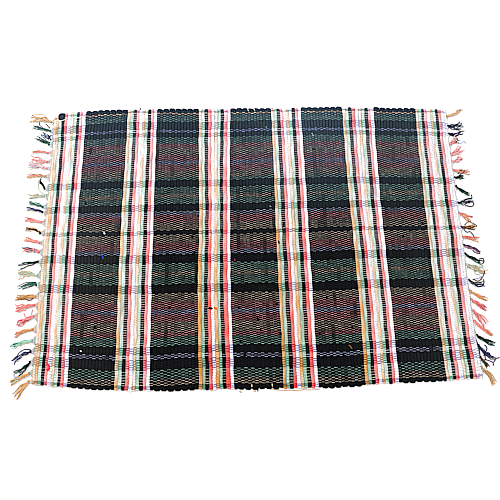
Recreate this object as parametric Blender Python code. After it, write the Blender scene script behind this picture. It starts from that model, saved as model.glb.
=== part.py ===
"""Flat woven cotton rag rug, about 0.89 x 0.63 m, with a knotted fringe at each end.

Metres, +Z up. X runs along the rug, which is the way its thin warp yarns run, and Y
runs across it, which is the way its thick rag wefts run. The underside lies on Z = 0.
The rug is three pieces: the woven cloth, and the warp ends at its left and right ends,
which are gathered into knots and left as loose tassels.
"""

import math

import bmesh
import bpy
import numpy as np

MM = 0.001

# The cloth
PICKS = 132             # rag wefts, laid side by side from the left end to the right end
PICK_WIDTH = 6.82 * MM
END_PICKS = 2           # picks at each end that the maker beat up tighter
END_PICK_WIDTH = 4.8 * MM
RIDGE_HEIGHT = 5.2 * MM
VALLEY_HEIGHT = 3.9 * MM
EDGE_HEIGHT = 2.6 * MM
LOOP_BULGE = 1.4 * MM   # how far each weft's turn stands out of the selvedge
LOOP_INSET = 1.0 * MM   # how far the cloth draws in between two turns
EDGE_ROUND = 6.0 * MM   # width of the rounded selvedge
CLOTH_ROWS = 7          # rows of faces between the two selvedges
RIB_SWELL = 0.07        # how much a rib's height varies, as a share of it
TURN_SWELL = 0.5        # how much the turns at the selvedges vary, as a share of the bulge
# Waves of the hand's unevenness: turns along a metre, turns across, and where each starts
WAVES = ((31.0, 2.1, 0.0), (73.0, -4.3, 1.0), (171.0, 7.9, 2.0))

# The fringe
PIECE_GAP = 0.3 * MM    # between the cloth and the fringe's strip
STRIP_REACH = 0.99      # how much of the end the strip runs along
STRIP_WIDTH = 3.0 * MM
STRIP_HEIGHT = 3.2 * MM
KNOT_OUT = 4.6 * MM     # from the cloth's end to the middle of a knot
KNOT_HALF = (3.4 * MM, 3.8 * MM, 3.0 * MM)
KNOT_LIFT = 3.2 * MM
ROOT_OUT = 2.2 * MM     # where the locks begin, inside the strip
ROOT_SPACING = 1.6 * MM
TIP_SPACING = 2.3 * MM
LOCK_HEIGHT = 2.2       # of a lock, as a share of its half width
LOCK_WIDTHS = (0.62 * MM, 0.66 * MM, 0.98 * MM, 0.92 * MM, 0.45 * MM)

COTTON_BLACK = (0.035, 0.04, 0.05, 1.0)
COTTON_PEACH = (0.80, 0.42, 0.24, 1.0)

# The rug's outline and the lean of its stripes, in mm, at places along the rug.
# far and near are the two selvedges. The lean is how far a stripe lies to the right of
# its even place, at the far selvedge, on the middle line and at the near selvedge.
SECTIONS = np.array(
    [
        (-447, 308.0, -297.0, 0.6, -1.2, 2.0),
        (-400, 311.5, -301.5, 0.4, -1.5, 1.8),
        (-320, 315.0, -308.5, -0.6, -2.2, 0.4),
        (-239, 315.5, -313.5, -1.3, -2.6, -1.0),
        (-157, 314.5, -314.5, -0.6, -1.8, 0.6),
        (-75, 313.0, -314.5, 0.2, -0.8, 2.0),
        (7, 312.0, -315.0, 0.0, 1.8, 3.4),
        (90, 311.0, -316.0, -0.4, 4.2, 4.6),
        (171, 311.5, -315.0, 0.0, 2.6, 3.2),
        (252, 309.5, -311.0, 0.4, 0.6, 1.8),
        (334, 304.5, -308.5, -0.4, -1.4, 0.0),
        (416, 301.0, -306.0, -1.1, -3.0, -2.0),
        (447, 298.5, -303.5, -1.1, -3.0, -2.0),
    ],
    dtype=[(name, float) for name in ("along", "far", "near", "lean_far", "lean_mid", "lean_near")],
)

# The tassels at each end, in mm, a row for each, from the far corner to the near one.
# root is where it leaves the end. knot, mid and tip are how far its knot, middle and tip
# lie towards the far side of that. Its middle lies mid_out from the cloth, its tip tip_out.
TASSEL_COLUMNS = ("root", "knot", "mid_out", "mid", "tip_out", "tip", "locks")
LEFT_TASSELS = np.array(
    [
        (289, -1, 22, 6, 52, 8, 4),
        (269, -4, 18, 0, 43, 8, 3),
        (251, -2, 12, 0, 24, 7, 3),
        (236, -5, 12, 1, 36, 13, 3),
        (215, -5, 24, -1, 40, -3, 3),
        (193, -5, 22, -2, 43, 1, 4),
        (174, -2, 21, 4, 46, 7, 3),
        (159, -6, 24, -4, 45, -5, 4),
        (128, -5, 10, 5, 18, 15, 3),
        (102, 4, 19, 4, 36, 2, 3),
        (81, -1, 18, 5, 35, 10, 3),
        (65, 3, 17, 8, 38, 13, 3),
        (48, -3, 21, 1, 40, 5, 4),
        (16, 4, 15, 12, 36, 15, 3),
        (-6, 4, 19, 9, 36, 13, 3),
        (-22, 0, 17, 5, 39, 8, 4),
        (-40, -4, 21, -8, 43, -13, 4),
        (-72, -2, 25, 3, 43, 0, 4),
        (-101, 7, 13, 10, 42, 0, 3),
        (-115, -4, 22, -5, 43, -6, 3),
        (-136, -1, 20, -4, 40, -8, 3),
        (-155, -5, 22, -13, 37, -20, 4),
        (-191, 4, 24, 0, 39, -8, 4),
        (-212, 2, 27, -3, 44, -10, 3),
        (-230, -2, 21, -8, 38, -20, 3),
        (-249, -4, 15, -16, 31, -28, 4),
        (-275, 0, 23, -9, 41, -18, 3),
        (-289, -2, 15, -13, 28, -33, 4),
    ],
    dtype=[(name, float) for name in TASSEL_COLUMNS],
)
RIGHT_TASSELS = np.array(
    [
        (282, 0, 24, 6, 38, 18, 4),
        (259, -2, 19, -3, 38, -1, 4),
        (236, 1, 17, 0, 37, 6, 3),
        (214, -3, 12, 4, 24, 12, 3),
        (188, -3, 16, 3, 30, 13, 4),
        (166, 2, 16, 5, 23, 13, 3),
        (149, -2, 20, -5, 37, -8, 3),
        (128, 1, 14, 3, 24, 5, 3),
        (111, -3, 17, -14, 31, -22, 3),
        (69, 0, 20, 3, 36, 6, 4),
        (49, -4, 15, -10, 28, -18, 4),
        (14, -1, 18, -2, 33, -1, 3),
        (-7, -2, 21, -5, 36, -9, 3),
        (-25, -3, 20, -9, 35, -19, 3),
        (-43, -4, 19, -14, 39, -24, 4),
        (-68, -3, 23, -12, 41, -20, 4),
        (-101, -4, 18, -12, 33, -10, 4),
        (-126, -2, 20, -12, 35, -20, 3),
        (-144, -2, 18, -12, 32, -22, 3),
        (-164, -5, 15, -18, 25, -34, 4),
        (-188, -3, 18, -18, 34, -31, 4),
        (-218, -2, 21, -12, 38, -19, 3),
        (-238, -2, 15, -17, 34, -30, 3),
        (-260, -4, 12, -13, 18, -24, 3),
        (-281, -3, 16, -17, 26, -36, 4),
    ],
    dtype=[(name, float) for name in TASSEL_COLUMNS],
)


def smooth_through(at, places, values):
    """Values at the places given by at, on the smooth curve through the known ones.

    Each stretch is a cubic whose slope at its ends is that of the line between the
    known points on either side.
    """
    slopes = np.gradient(values, places)
    at = np.clip(at, places[0], places[-1])
    left = np.clip(np.searchsorted(places, at, side="right") - 1, 0, len(places) - 2)
    span = places[left + 1] - places[left]
    t = (at - places[left]) / span
    rise = values[left] * (2 * t**3 - 3 * t**2 + 1) + values[left + 1] * (3 * t**2 - 2 * t**3)
    return rise + span * (slopes[left] * (t**3 - 2 * t**2 + t) + slopes[left + 1] * (t**3 - t**2))


def lay_out(along, across):
    """Floor place of a point of the weave: along in metres from the rug's middle line,
    across from -1 at the near selvedge to +1 at the far one.

    A stripe's lean is the parabola through its three leans, and the selvedges come from
    the table of sections.
    """
    places = SECTIONS["along"] * MM
    column = {name: smooth_through(along, places, SECTIONS[name] * MM)
              for name in SECTIONS.dtype.names[1:]}
    y = column["near"] + (across + 1) / 2 * (column["far"] - column["near"])
    lean = (column["lean_far"] * across * (across + 1) / 2
            + column["lean_mid"] * (1 - across**2)
            + column["lean_near"] * across * (across - 1) / 2)
    return along + lean, y


def pick_edges():
    """Places along the rug where one pick ends and the next begins, from the middle."""
    widths = np.full(PICKS, PICK_WIDTH)
    widths[:END_PICKS] = END_PICK_WIDTH
    widths[-END_PICKS:] = END_PICK_WIDTH
    edges = np.concatenate(([0.0], np.cumsum(widths)))
    return edges - edges[-1] / 2


def uneven(along, across):
    """A slow uneven swell between -1 and 1, as hand weaving has: the mean of the waves."""
    return sum(np.sin(along * a + across * b + start) for a, b, start in WAVES) / len(WAVES)


def cotton(name, colour):
    """A plain cotton material in one colour."""
    material = bpy.data.materials.new(name)
    material.use_nodes = True
    shader = material.node_tree.nodes["Principled BSDF"]
    shader.inputs["Base Color"].default_value = colour
    shader.inputs["Roughness"].default_value = 0.95
    shader.inputs["Metallic"].default_value = 0.0
    return material


def new_object(name, mesh, material, collection):
    """An object with this mesh and material, linked to the collection."""
    mesh.materials.clear()
    mesh.materials.append(material)
    body = bpy.data.objects.new(name, mesh)
    collection.objects.link(body)
    return body


def slab_mesh(name, columns, rows, place, height):
    """A closed flat-bottomed slab whose top rises and falls.

    It is a grid of columns by rows, laid out by place(i, j), and extruded up to
    height(i, j). The underside is one flat face on the floor.
    """
    bm = bmesh.new()
    bmesh.ops.create_grid(bm, x_segments=columns, y_segments=rows, size=1.0)
    bottom = list(bm.faces)
    rise = bmesh.ops.extrude_face_region(bm, geom=bottom)
    top = {item for item in rise["geom"] if isinstance(item, bmesh.types.BMVert)}
    points = np.array([vertex.co[:] for vertex in bm.verts])
    i = np.rint((points[:, 0] + 1) / 2 * columns).astype(int)
    j = np.rint((points[:, 1] + 1) / 2 * rows).astype(int)
    x, y = place(i, j)
    z = height(i, j)
    for vertex, px, py, pz in zip(bm.verts, x, y, z):
        vertex.co = (px, py, pz if vertex in top else 0.0)
    bm.normal_update()
    flat_edges = [edge for edge in bm.edges if all(abs(v.co.z) < 1e-9 for v in edge.verts)]
    bmesh.ops.dissolve_limit(bm, angle_limit=math.radians(0.5), verts=[], edges=flat_edges)
    bmesh.ops.recalc_face_normals(bm, faces=bm.faces)
    mesh = bpy.data.meshes.new(name)
    bm.to_mesh(mesh)
    bm.free()
    return mesh


def cloth_mesh():
    """The woven cloth: a ridge for each pick, with a valley between it and the next.

    Each pick's turn bulges at the selvedges, which are rounded down, as are the ends.
    """
    edges = pick_edges()
    stations = np.empty(2 * PICKS + 1)
    stations[0::2] = edges
    stations[1::2] = (edges[:-1] + edges[1:]) / 2
    half_width = (SECTIONS["far"].mean() - SECTIONS["near"].mean()) / 2 * MM
    margin = EDGE_ROUND / half_width
    inner = np.linspace(-1 + margin, 1 - margin, CLOTH_ROWS + 1)
    across = np.concatenate(([-1.0], inner, [1.0]))
    last_row = len(across) - 1
    last_column = len(stations) - 1

    def place(i, j):
        x, y = lay_out(stations[i], across[j])
        turn = np.where(i % 2 == 1, LOOP_BULGE, -LOOP_INSET)
        turn = turn * (1 + TURN_SWELL * uneven(stations[i], 0.0))
        corner = (i == 0) | (i == last_column)
        turn = np.where(corner, -LOOP_INSET, turn)
        y = y + np.where(j == last_row, turn, 0.0) - np.where(j == 0, turn, 0.0)
        return x, y

    def height(i, j):
        swell = 1 + RIB_SWELL * uneven(stations[i], across[j])
        z = np.where(i % 2 == 1, RIDGE_HEIGHT, VALLEY_HEIGHT) * swell
        rim = (j == 0) | (j == last_row) | (i == 0) | (i == last_column)
        return np.where(rim, EDGE_HEIGHT, z)

    return slab_mesh("rug_cloth", last_column, last_row, place, height)


def end_line(side, across):
    """Points of the cloth's left (side -1) or right (side +1) end."""
    edges = pick_edges()
    return lay_out(np.full(np.shape(across), edges[0] if side < 0 else edges[-1]), across)


def across_at(side, y):
    """How far across the weave, from -1 to +1, the end's point at this y lies."""
    near_y = float(end_line(side, np.array([-1.0]))[1][0])
    far_y = float(end_line(side, np.array([1.0]))[1][0])
    return (y - near_y) / (far_y - near_y) * 2 - 1


def strip_mesh(side):
    """The narrow strip that holds the fringe, parted from the cloth's end by the gap."""
    rows = CLOTH_ROWS + 2
    across = np.linspace(-STRIP_REACH, STRIP_REACH, rows + 1)

    def place(i, j):
        x, y = end_line(side, across[j])
        step = PIECE_GAP + i * STRIP_WIDTH
        return x + side * step, y

    def height(i, j):
        return np.full(np.shape(i), STRIP_HEIGHT)

    return slab_mesh("strip", 1, rows, place, height)


def knots_mesh(side, tassels):
    """The row of knots, each a small faceted lump that stands just clear of the floor."""
    bm = bmesh.new()
    for row in tassels:
        knot_y = (row["root"] + row["knot"]) * MM
        end_x = float(end_line(side, np.array([across_at(side, knot_y)]))[0][0])
        made = bmesh.ops.create_icosphere(bm, subdivisions=1, radius=1.0)
        bmesh.ops.scale(bm, vec=KNOT_HALF, verts=made["verts"])
        centre = (end_x + side * KNOT_OUT, knot_y, KNOT_LIFT)
        bmesh.ops.translate(bm, vec=centre, verts=made["verts"])
    mesh = bpy.data.meshes.new("knots")
    bm.to_mesh(mesh)
    bm.free()
    return mesh


def lock_paths(side, row):
    """Centre lines of one tassel's locks: a smooth curve from the strip through the knot
    and the middle to the tip, from which the locks spread a little to either side."""
    locks = int(row["locks"])
    knot_y = (row["root"] + row["knot"]) * MM
    mid_y = (row["root"] + row["mid"]) * MM
    tip_y = (row["root"] + row["tip"]) * MM
    end_x = float(end_line(side, np.array([across_at(side, knot_y)]))[0][0])
    known = np.array([0.0, 0.5, 1.0])
    steps = np.linspace(0.0, 1.0, len(LOCK_WIDTHS))
    reach = np.array([ROOT_OUT, row["mid_out"] * MM, row["tip_out"] * MM])
    outs = smooth_through(steps, known, reach)
    ys = smooth_through(steps, known, np.array([knot_y, mid_y, tip_y]))
    run = np.gradient(outs)
    rise = np.gradient(ys)
    length = np.hypot(run, rise)
    spacing = ROOT_SPACING + (TIP_SPACING - ROOT_SPACING) * np.minimum(1.0, steps * 2)
    for lock in range(locks):
        shift = (lock - (locks - 1) / 2) * spacing
        out = outs - shift * rise / length
        y = ys + shift * run / length
        yield end_x + side * out, y


def locks_mesh(side, tassels):
    """All locks of one end: thin three-sided strands that lie level on the floor."""
    profile_curve = bpy.data.curves.new("lock_profile", "CURVE")
    profile_curve.dimensions = "2D"
    outline = profile_curve.splines.new("POLY")
    outline.points.add(2)
    for point, place in zip(outline.points, ((-1.0, 0.0), (0.0, LOCK_HEIGHT), (1.0, 0.0))):
        point.co = (*place, 0.0, 1.0)
    outline.use_cyclic_u = True
    profile = bpy.data.objects.new("lock_profile", profile_curve)
    cutters.objects.link(profile)
    profile.hide_render = True

    strands = bpy.data.curves.new("locks", "CURVE")
    strands.dimensions = "3D"
    strands.twist_mode = "Z_UP"
    strands.bevel_mode = "OBJECT"
    strands.bevel_object = profile
    strands.use_fill_caps = True
    for row in tassels:
        for xs, ys in lock_paths(side, row):
            spline = strands.splines.new("POLY")
            spline.points.add(len(xs) - 1)
            for point, x, y, width in zip(spline.points, xs, ys, LOCK_WIDTHS):
                point.co = (x, y, 0.0, 1.0)
                point.radius = width
    holder = bpy.data.objects.new("locks", strands)
    cutters.objects.link(holder)
    bpy.context.view_layer.update()
    evaluated = holder.evaluated_get(bpy.context.evaluated_depsgraph_get())
    mesh = bpy.data.meshes.new_from_object(evaluated)
    bpy.data.objects.remove(holder)
    bm = bmesh.new()
    bm.from_mesh(mesh)
    bmesh.ops.remove_doubles(bm, verts=bm.verts, dist=1e-6)
    bmesh.ops.recalc_face_normals(bm, faces=bm.faces)
    bm.to_mesh(mesh)
    bm.free()
    return mesh


def join_to(body, other_mesh, name):
    """Fuse another closed mesh to the body with a Boolean union."""
    other = bpy.data.objects.new(name, other_mesh)
    cutters.objects.link(other)
    other.hide_render = True
    other.display_type = "WIRE"
    union = body.modifiers.new(name, "BOOLEAN")
    union.operation = "UNION"
    union.solver = "EXACT"
    union.object = other


def make_fringe(name, side, tassels, material, collection):
    """One end's fringe: the strip, its knots and its locks, fused to one body."""
    body = new_object(name, strip_mesh(side), material, collection)
    join_to(body, knots_mesh(side, tassels), name + "_knots")
    join_to(body, locks_mesh(side, tassels), name + "_locks")
    return body


def centre_on_floor(bodies, helpers):
    """Move the whole rug so that the middle of its bounding box is at X = 0, Y = 0."""
    bpy.context.view_layer.update()
    graph = bpy.context.evaluated_depsgraph_get()
    corners = []
    for body in bodies:
        mesh = body.evaluated_get(graph).to_mesh()
        points = np.array([vertex.co[:] for vertex in mesh.vertices])
        corners.extend((points.min(axis=0), points.max(axis=0)))
    corners = np.array(corners)
    middle = (corners.min(axis=0) + corners.max(axis=0)) / 2
    for body in bodies + helpers:
        body.location.x -= middle[0]
        body.location.y -= middle[1]


for leftover in list(bpy.data.objects):
    bpy.data.objects.remove(leftover)
rug = bpy.data.collections.new("cotton_rug")
cutters = bpy.data.collections.new("cutters")
bpy.context.scene.collection.children.link(rug)
bpy.context.scene.collection.children.link(cutters)

black_cotton = cotton("black_cotton", COTTON_BLACK)
peach_cotton = cotton("peach_cotton", COTTON_PEACH)
cloth = new_object("rug_cloth", cloth_mesh(), black_cotton, rug)
left = make_fringe("fringe_left", -1, LEFT_TASSELS, peach_cotton, rug)
right = make_fringe("fringe_right", 1, RIGHT_TASSELS, peach_cotton, rug)
fused = [item for item in cutters.objects if item.type == "MESH"]
centre_on_floor([cloth, left, right], fused)
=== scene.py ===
"""Looks of the cotton rag rug: rag wefts, warp yarns, knotted fringe, floor, light and camera.

Metres, +Z up. X runs along the rug with its warp yarns, Y across it with its rag wefts.
"""

import bpy
import numpy as np
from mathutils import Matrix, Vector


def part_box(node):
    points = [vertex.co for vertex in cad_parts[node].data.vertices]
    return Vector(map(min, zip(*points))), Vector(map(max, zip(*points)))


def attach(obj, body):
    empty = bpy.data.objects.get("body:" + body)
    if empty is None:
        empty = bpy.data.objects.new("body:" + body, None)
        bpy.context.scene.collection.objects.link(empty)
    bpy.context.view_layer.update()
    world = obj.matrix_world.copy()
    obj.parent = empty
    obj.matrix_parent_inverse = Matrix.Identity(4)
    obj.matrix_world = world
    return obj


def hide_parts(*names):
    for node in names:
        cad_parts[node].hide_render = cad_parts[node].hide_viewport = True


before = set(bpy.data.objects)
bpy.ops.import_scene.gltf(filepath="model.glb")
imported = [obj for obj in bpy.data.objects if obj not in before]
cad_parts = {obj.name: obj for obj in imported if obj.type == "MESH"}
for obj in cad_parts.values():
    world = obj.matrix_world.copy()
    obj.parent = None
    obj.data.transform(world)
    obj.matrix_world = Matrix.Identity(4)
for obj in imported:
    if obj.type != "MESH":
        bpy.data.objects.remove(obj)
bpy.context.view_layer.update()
MM = 0.001

# Rag wefts
# Strips of old cotton cloth, thick and soft, one beside the other from the left end to the
# right end. Ten strips in six colours make a stripe, and fourteen black ones the field between
# two stripes. A black rag turns back at each selvedge, and the others end there.
PICK_WIDTH = 6.82 * MM
END_PICK_WIDTH = 4.8 * MM  # the two picks at each end are beaten up tighter
END_PICKS = 2
STRIPE = ("peach", "mint", "charcoal", "red", "white",
          "apricot", "mint", "charcoal", "red", "white")
GROUP = 5  # rags in each half of a stripe
STRIPE_WIDTHS = MM * np.array((  # of the ten rags of each stripe, as loosely or tightly cut
    (7.8, 6.4, 6.4, 6, 8.5, 5.4, 7.6, 5.8, 6.9, 7.6),
    (7, 7.4, 7.1, 7, 7.4, 5.9, 6.7, 7.2, 6.8, 6.8),
    (7.4, 5.7, 7, 7.1, 6.6, 6.6, 5.8, 6.7, 8.7, 6.1),
    (6.2, 6.5, 7.4, 6.4, 6.9, 6.1, 7, 7.3, 7.2, 6.7),
    (6.8, 6.8, 7, 6.9, 7.1, 5.8, 7.1, 7.2, 5.8, 7.6),
    (5.7, 7.7, 5.8, 6.9, 8.7, 5.2, 7.3, 6.5, 7, 8.8),
))
FIELD = ("black",) * 14
BANDS = ["stripes_1", "field_1", "stripes_2", "field_2", "stripes_3", "field_3",
         "stripes_4", "field_4", "stripes_5", "field_5", "stripes_6"]
RAG_COLOURS = {  # as dyed, and where the sun has bleached them most
    "black": ((9, 10, 11), (10, 12, 13)),
    "charcoal": ((30, 21, 21), (62, 48, 52)),
    "peach": ((212, 154, 94), (226, 200, 182)),
    "apricot": ((220, 176, 131), (235, 217, 205)),
    "mint": ((161, 184, 164), (202, 214, 206)),
    "red": ((238, 113, 107), (235, 169, 172)),
    "white": ((236, 228, 234), (240, 236, 243)),
    "header": ((226, 178, 132), (238, 216, 198)),
    "cream": ((240, 232, 230), (244, 240, 240)),
}
# How far each group of five coloured rags is bleached on the near side, where 1 is the most
BLEACH_NEAR = np.array((0.79, 0.73, 0.74, 0.7, 0.0, 0.0, 0.18, 0.13, 0.29, 0.73, 0.91, 0.78))
FADE = 0.52  # how far towards white the sun takes the palest yarn
PALEST = 250
WANDER = ((0.26, 17.0 * MM, 1.7), (0.18, 7.1 * MM, 4.1))  # size, length, start from rag to rag
VEILS = np.array((  # light that lies over the far side, the left end and the right end
    (0.017, 0.029, 0.041), (0.011, 0.012, 0.012), (0.008, 0.011, 0.012),
))
# Where both selvedges lie, and how far a stripe leans along the rug at three places, in mm
SECTIONS = np.array([
    (-447, 308, -297, 0.6, -1.2, 2),
    (-400, 311.5, -301.5, 0.4, -1.5, 1.8),
    (-320, 315, -308.5, -0.6, -2.2, 0.4),
    (-239, 315.5, -313.5, -1.3, -2.6, -1),
    (-157, 314.5, -314.5, -0.6, -1.8, 0.6),
    (-75, 313, -314.5, 0.2, -0.8, 2),
    (7, 312, -315, 0, 1.8, 3.4),
    (90, 311, -316, -0.4, 4.2, 4.6),
    (171, 311.5, -315, 0, 2.6, 3.2),
    (252, 309.5, -311, 0.4, 0.6, 1.8),
    (334, 304.5, -308.5, -0.4, -1.4, 0),
    (416, 301, -306, -1.1, -3, -2),
    (447, 298.5, -303.5, -1.1, -3, -2),
], dtype=[(name, float) for name in ("along", "far", "near", "lean_far", "lean_mid", "lean_near")])
# How far the weave strays from the plan, in mm: along the rug, with a column for each group of
# five coloured rags, and across it. A row is for a place across.
STRAY_ALONG_ROWS = np.linspace(0.96, -0.96, 9)
STRAY_ALONG = np.array((
    (2.5, 3, 3.5, 2.5, 1, 4.5, 1.5, 2, 0, 4, 5, 3),
    (6, 4, 3.5, 3, 1.5, 3, 1.5, 1.5, -1, 1.5, 2.5, 0.5),
    (6, 3.5, 3, 2.5, 2.5, 1.5, 1, 1, -1.5, 1, 2.5, 1.5),
    (5.5, 2.5, 1.5, 2, 4, 1.5, 0, 1, -0.5, -0.5, 1.5, 0.5),
    (5, 2, 1.5, 2.5, 3.5, 0.5, -1, -0.5, 1.5, 0.5, 2, 2),
    (5, 2.5, 0.5, 1.5, 1, -0.5, 0, 0, 2, 1, 0.5, 0),
    (4.5, 2, 1.5, 2.5, 0.5, -0.5, 0, 0, 3, 2, 1, 0),
    (5, 2.5, 1.5, 2, 1, 1, 1, 0.5, 2, 1, 1, 0),
    (3, 2, 0.5, 3, 1.5, 2, 1, 2, 0.5, 0.5, 1.5, 3),
))
STRAY_ACROSS_COLUMNS = MM * np.array((-447, -430, -351, -303, -188, -140, -24, 24, 140, 188, 303, 351))
STRAY_ACROSS_ROWS = np.array((1, 0.965, 0.935, 0.88, 0.66, 0.39, 0.13, -0.13, -0.39, -0.66, -0.87,
                              -0.945, -1))
STRAY_ACROSS = np.array((
    (-7, 0, 0, 0, 0, 0, 0, 0, 0, 0, 0, 0),
    (-8, -3, -2.5, -1.2, -0.7, -1.6, -1, 0.3, 0, -0.4, -1, -1),
    (-9, -6.5, -6.3, -2.2, -3.4, -4.1, -3.8, -1.5, -2.5, -4, -2.8, -3.8),
    (-6, -4, -3.7, -1.7, -2.2, -4.1, -1.6, 0, -1, -2.6, -2, -2.5),
    (-5, -5, -5, -3.5, -2, -3, -2, 0.5, 0, -1, -1.5, -1.5),
    (-6.5, -6.5, -6.5, -5.5, -3, -2.5, -3, -0.5, -0.5, -1, -2.5, -2),
    (-7, -7, -7, -6.5, -3, -2.5, -3, -1.5, -0.5, -1, -2.5, -2),
    (-6, -6, -6, -6, -3, -3, -2.5, -2, -1.5, -1, -2.5, -2.5),
    (-5.5, -5.5, -5.5, -5.5, -3, -2, -2.5, -2, -2.5, -2, -2.5, -3),
    (-5.1, -5.1, -5.1, -5.6, -2.8, -0.4, -1.3, -1.5, -3.9, -3.1, -2.3, -3.3),
    (-4.2, -4.2, -4.2, -4.8, -2.2, 0.8, -0.6, -1.2, -1.7, -3.1, -1.6, -2.7),
    (-7.7, -7.7, -7.7, -7.2, -6.2, -3.5, -3.9, -4.9, -6.5, -6.5, -5.7, -7.5),
    (0, 0, 0, 0, 0, 0, 0, 0, 0, 0, 0, 0),
))
# Waves: the size, how fast each turns along and across the rug, and where it starts
SWELL_WAVES = ((1.0, 31.0, 2.1, 0.0), (1.0, 73.0, -4.3, 1.0), (1.0, 171.0, 7.9, 2.0))
DRIFT_ALONG = ((0.35, 47.0, -29.0, 0.0), (0.3, 93.0, 61.0, 0.0))
DRIFT_ACROSS = ((0.5, 83.0, -17.0, 2.0), (0.35, 160.0, 31.0, 0.0))
LOOP_BULGE = 1.4 * MM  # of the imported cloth's turns, which swell by this share of it
TURN_SWELL = 0.5
WARP_BANDS = (
    (3, "black"), (2, "sand"), (7, "green"), (9, "black"), (3, "lilac"), (5, "black"),
    (7, "green"), (5, "red"), (7, "tan"), (6, "red"), (4, "blue"), (6, "red"), (7, "tan"),
    (3, "green"), (7, "black"), (7, "green"), (4, "tan"), (6, "green"), (7, "black"),
    (4, "lavender"), (7, "red"), (8, "tan"), (4, "black"), (8, "tan"), (7, "red"),
    (4, "lavender"), (8, "black"), (8, "green"), (4, "tan"), (8, "green"), (8, "black"),
    (8, "tan"), (7, "red"), (4, "blue"), (7, "red"), (9, "tan"), (4, "red"), (8, "green"),
    (7, "black"), (4, "lavender"), (9, "black"), (7, "green"), (5, "tan"), (5, "black"),
)
WARP_NAMES = [name for count, name in WARP_BANDS for _ in range(count)]
WARPS = len(WARP_NAMES)
DARK_OVER = {  # the black warp yarn where a light rag glows through it
    "peach": (112, 72, 34), "apricot": (128, 84, 44), "mint": (12, 94, 66), "red": (166, 16, 46),
    "white": (84, 90, 156), "header": (134, 94, 54), "cream": (110, 118, 190),
}
WARP_REACH = 0.989  # how far across the outermost warps lie, of 1 at the selvedge
FAR_EDGE_WARPS = MM * np.array((5.6, 7.0, 8.4, 10.2, 12.0))  # closer, this far from the selvedge
NEAR_EDGE_WARPS = (0.956, 0.985)  # and the near ones, from and to this far across
MIDDLE_Z = 2.55 * MM  # height of the weave's middle over the floor
RAG_HALF_HEIGHT = 1.62 * MM
FILLS = {"black": 1.08, "charcoal": 1.06, "header": 1.3, "cream": 1.3}  # a rag's share of its pick
LIGHT_FILL = 1.13  # and of the other colours
RAG_DIP = 0.42 * MM  # how far a warp presses the rag down or up
RIB_SWELL = 0.07
RAG_OUTLINE = np.array(((1, 0), (0.57, 1), (-0.57, 1), (-1, 0), (-0.57, -1), (0.57, -1)), float)
PAINTED_RIB_LIGHT = np.array((0.3, 1.15, 1.15, 0.3, 0.3, 0.3))  # painted light and shade of a black rag at those six corners: lighter at its top, darker at its sides and underside
TURN_INSET = 3.3 * MM  # where a turn begins, inside the selvedge
TURN_HALF_WIDTH = 3.6 * MM
TURN_RINGS = 9
TURN_INSETS = MM * np.array((4.2, 4.6, 5.1))  # of a rag's last three rings where it turns
FREE_INSETS = MM * np.array((0.0, 0.7, 2.6))  # and where it ends
SHOWN_WARP = 0.24  # how far a black warp shows through a rag that lies over it
RING_STEP = np.array((0, 0, 1, 1))  # how far a face's corners lie along its tube, and round it
SIDE_STEP = np.array((0, 1, 1, 0))
FAR_TURN_TINT = np.array((-2.0, 1.0, 9.0))  # the far turns lie in colder light
BIT_COLOURS = {
    "black": (12, 14, 16), "navy": (8, 16, 34), "white": (240, 240, 242), "cream": (232, 220, 204),
    "tan": (228, 188, 152), "orange": (236, 128, 48), "red": (238, 62, 74), "blue": (16, 88, 186),
    "grey": (168, 160, 152), "maroon": (150, 50, 70), "straw": (160, 112, 56),
}
# Black nubs that stick out of the weave: the half width in mm and two bends. The first bend is
# a place along the rug in mm and across it in thousandths of half its width, and any other one
# is given from the first.
BLACK_NUBS = (
    (3, -25, -775, 0, -28), (2.8, -125, -78, 0, -22), (3.2, -326, -578, 2, -24),
    (2.6, -130, 34, 0, -24), (2.4, -118, 180, 0, -20), (2.8, 45, -636, 2, -22),
    (2.4, 171, -780, 0, -20), (2.4, 291, -860, 0, -18), (2.6, 125, -634, 1, -20),
    (2.6, 3, -540, 2, -22), (2.4, 372, 478, 0, -22), (2.4, -31, -684, -1, -18),
    (2.6, 320, 6, 0, -20), (2.8, -358, 720, -1, -68), (2.4, 8, -618, 0, -18),
    (2.6, 42, 338, -1, -34), (2.4, 364, 100, 1, -18), (2.6, 126, -152, 1, -22),
    (2.6, -360, 300, 0, -28), (2.4, 144, -406, 1, -22), (2.4, 192, -610, 1, -20),
    (2.4, -362, 112, 0, -22), (2.4, 193, -860, 1, -18), (2.4, 139, 674, 1, -22),
    (2.4, -33, -464, 1, -20), (2.4, 344, 366, 0, -20), (2.4, -173, -460, -1, -20),
    (2.4, 42, -444, 0, -22), (1.5, 52, -20, 1, -22), (2.2, 65, 118, -1, -34),
    (2.6, 390, -562, 1, -44), (2.6, 262, -632, 0, -28), (2.6, -95, -478, 10, -2),
    (0.8, -2, -996, 0, -22), (0.9, -253, 1020, 3, -30),
)
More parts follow.
